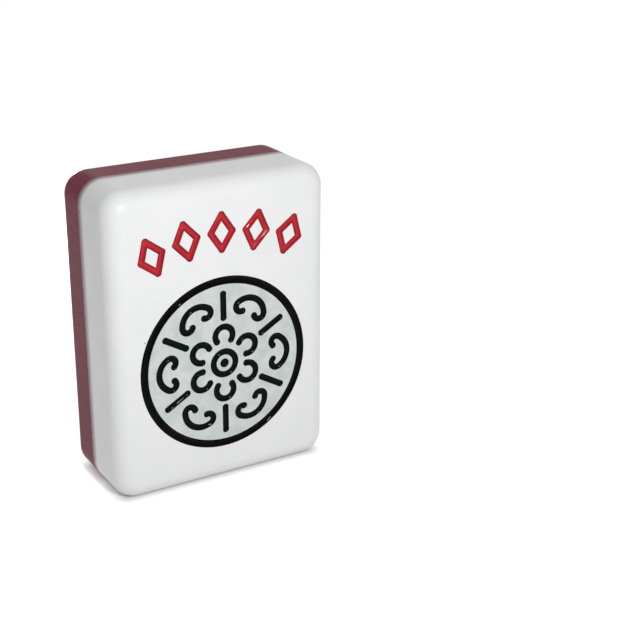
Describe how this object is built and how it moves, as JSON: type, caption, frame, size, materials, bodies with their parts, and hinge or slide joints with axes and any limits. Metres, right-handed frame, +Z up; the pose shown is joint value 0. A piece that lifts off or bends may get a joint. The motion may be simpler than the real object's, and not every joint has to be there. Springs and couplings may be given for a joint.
{
  "type": "mahjong tile",
  "caption": "Two-layer mahjong tile: white block with an engraved, painted medallion and arch of lozenges, bonded to a clear red glitter-backed slab with an engraved heart.",
  "frame": {"origin": "middle of the foot, the short edge that the tile stands on", "axes": "+Z up along the tile's height, the engraved white face looks along -Y, the clear red back along +Y, +X to the right of someone who looks at the face"},
  "size_m": [0.0226, 0.0104, 0.03],
  "materials": {
    "white_block": "polished white melamine with faint specks",
    "seam": "pale adhesive line",
    "glitter": "red glitter film",
    "clear_red": "clear red-tinted acrylic, polished",
    "black_enamel": "glossy black enamel",
    "green_enamel": "glossy very dark green enamel",
    "red_enamel": "glossy red enamel"
  },
  "bodies": {
    "root": {"face_block": "white_block", "bond_line": "seam", "glitter_film": "glitter", "back_slab": "clear_red", "ring_inlay": "black_enamel", "pip_inlay": "green_enamel", "eye_ring_inlay": "green_enamel", "petal_inlays": "green_enamel", "scroll_inlays": "green_enamel", "spoke_inlays": "green_enamel", "lozenge_inlay_1": "red_enamel", "lozenge_inlay_2": "red_enamel", "lozenge_inlay_3": "red_enamel", "lozenge_inlay_4": "red_enamel", "lozenge_inlay_5": "red_enamel", "heart_inlay": "black_enamel", "heart_spot_inlays": "black_enamel"}
  },
  "joints": []
}
